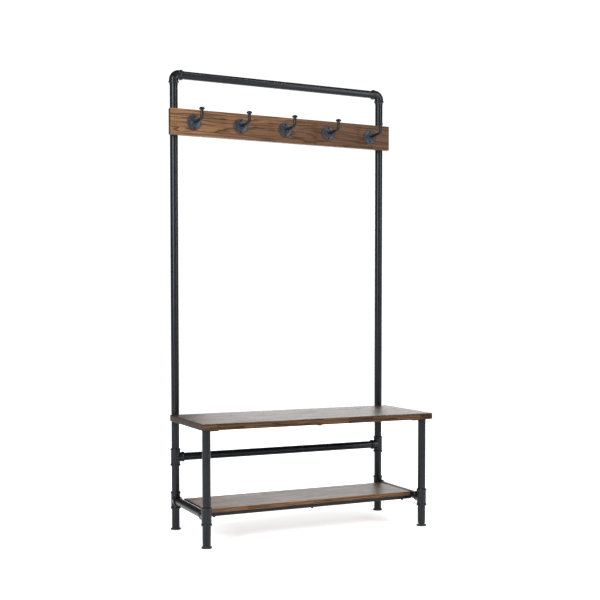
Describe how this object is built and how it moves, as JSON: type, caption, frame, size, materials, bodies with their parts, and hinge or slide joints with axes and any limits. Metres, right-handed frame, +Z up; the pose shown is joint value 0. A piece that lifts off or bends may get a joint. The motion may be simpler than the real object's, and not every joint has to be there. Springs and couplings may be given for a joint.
{
  "type": "entryway bench",
  "caption": "Entryway bench with a plank seat and shoe shelf on black pipe legs, and a tall pipe back with a board of coat hooks.",
  "frame": {"origin": "on the floor, under the middle of the bounding box", "axes": "+X to the right along the bench as seen from the front, +Y towards the back, +Z up"},
  "size_m": [0.996, 0.421, 1.85],
  "materials": {
    "black_tube": "black satin powder coat",
    "black_casting": "black coat on rough cast iron",
    "grey_casting": "blue-grey metallic coat",
    "black_frame": "black satin powder coat",
    "brown_wood": "walnut brown with dark lengthwise grain, satin",
    "zinc_steel": "bright zinc plating",
    "black_rubber": "matte black"
  },
  "bodies": {
    "bench": {"back_left_foot_tube": "black_tube", "back_left_lower_tube": "black_tube", "back_left_seat_tube": "black_tube", "back_left_post_tube": "black_tube", "back_left_top_tube": "black_tube", "back_left_low_tee": "black_casting", "back_left_mid_tee": "black_casting", "back_left_elbow": "black_casting", "left_seat_sleeve": "zinc_steel", "left_hook_board_sleeve": "zinc_steel", "left_seat_bolt": "zinc_steel", "left_hook_board_bolt": "zinc_steel", "front_left_foot_tube": "black_tube", "front_left_leg_tube": "black_tube", "front_left_low_tee": "black_casting", "left_side_tube": "black_tube", "left_seat_bar": "black_frame", "back_right_foot_tube": "black_tube", "back_right_lower_tube": "black_tube", "back_right_seat_tube": "black_tube", "back_right_post_tube": "black_tube", "back_right_top_tube": "black_tube", "back_right_low_tee": "black_casting", "back_right_mid_tee": "black_casting", "back_right_elbow": "black_casting", "right_seat_sleeve": "zinc_steel", "right_hook_board_sleeve": "zinc_steel", "right_seat_bolt": "zinc_steel", "right_hook_board_bolt": "zinc_steel", "front_right_foot_tube": "black_tube", "front_right_leg_tube": "black_tube", "front_right_low_tee": "black_casting", "right_side_tube": "black_tube", "right_seat_bar": "black_frame", "back_rail_tube": "black_tube", "top_rail_tube": "black_tube", "seat_board": "brown_wood", "hook_board": "brown_wood", "shelf_board": "brown_wood", "shelf_frame": "black_frame", "center_seat_bar": "black_frame", "hook_1_flange": "grey_casting", "hook_1_arm": "black_casting", "hook_2_flange": "grey_casting", "hook_2_arm": "black_casting", "hook_3_flange": "grey_casting", "hook_3_arm": "black_casting", "hook_4_flange": "grey_casting", "hook_4_arm": "black_casting", "hook_5_flange": "grey_casting", "hook_5_arm": "black_casting"},
    "front_left_foot": {"front_left_foot_pad": "black_rubber", "front_left_foot_stem": "zinc_steel"},
    "front_right_foot": {"front_right_foot_pad": "black_rubber", "front_right_foot_stem": "zinc_steel"},
    "back_left_foot": {"back_left_foot_pad": "black_rubber", "back_left_foot_stem": "zinc_steel"},
    "back_right_foot": {"back_right_foot_pad": "black_rubber", "back_right_foot_stem": "zinc_steel"}
  },
  "joints": [
    {"name": "front_left_foot_screw", "type": "slide", "parent": "bench", "child": "front_left_foot", "axis": [0, 0, -1], "range_m": [0, 0.012]},
    {"name": "front_right_foot_screw", "type": "slide", "parent": "bench", "child": "front_right_foot", "axis": [0, 0, -1], "range_m": [-0.004, 0.008]},
    {"name": "back_left_foot_screw", "type": "slide", "parent": "bench", "child": "back_left_foot", "axis": [0, 0, -1], "range_m": [0, 0.012]},
    {"name": "back_right_foot_screw", "type": "slide", "parent": "bench", "child": "back_right_foot", "axis": [0, 0, -1], "range_m": [0, 0.012]}
  ]
}
